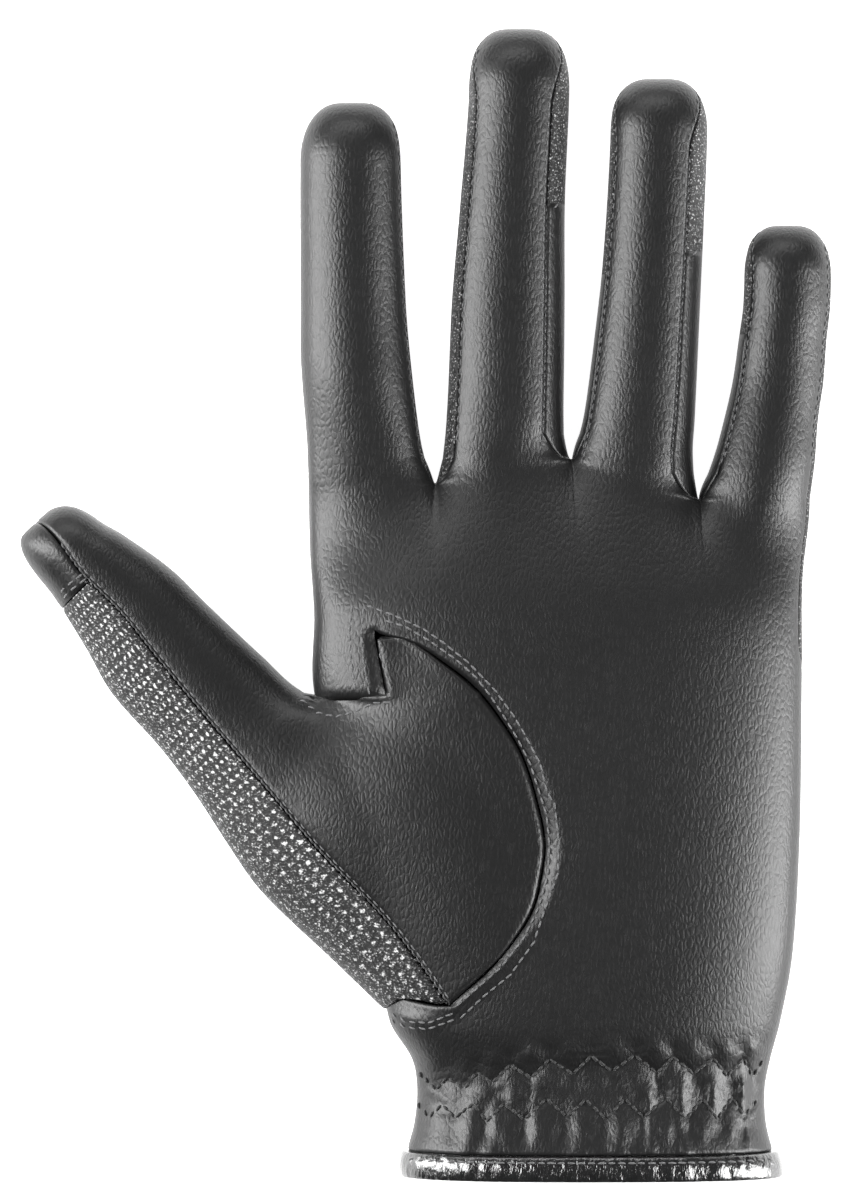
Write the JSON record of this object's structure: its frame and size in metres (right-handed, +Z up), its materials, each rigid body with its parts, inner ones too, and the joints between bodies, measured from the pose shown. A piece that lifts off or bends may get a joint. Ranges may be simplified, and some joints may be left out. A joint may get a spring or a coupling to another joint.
{
  "type": "horse riding glove",
  "caption": "Left-hand riding glove with a smooth leather palm, mesh back, inset thumb, gathered cuff and a glossy bound hem.",
  "frame": {"origin": "middle of the whole glove's length and width, on the surface it lies on", "axes": "+Y along the fingers, +Z up out of the palm side, thumb towards -X"},
  "size_m": [0.162, 0.2292, 0.0321],
  "materials": {
    "leather": "satin",
    "mesh": "matte",
    "patent": "gloss",
    "thread": "matte"
  },
  "bodies": {
    "root": {"palm_panel": "leather", "cuff_back": "leather", "thumb_front": "leather", "thumb_tip": "leather", "side_middle_ring": "leather", "side_ring_little": "leather", "back_panel": "mesh", "thumb_mesh": "mesh", "side_index_middle": "mesh", "side_middle_upper": "mesh", "side_ring_upper_left": "mesh", "side_ring_upper_right": "mesh", "side_little_upper": "mesh", "wrist_binding": "patent"}
  },
  "joints": []
}
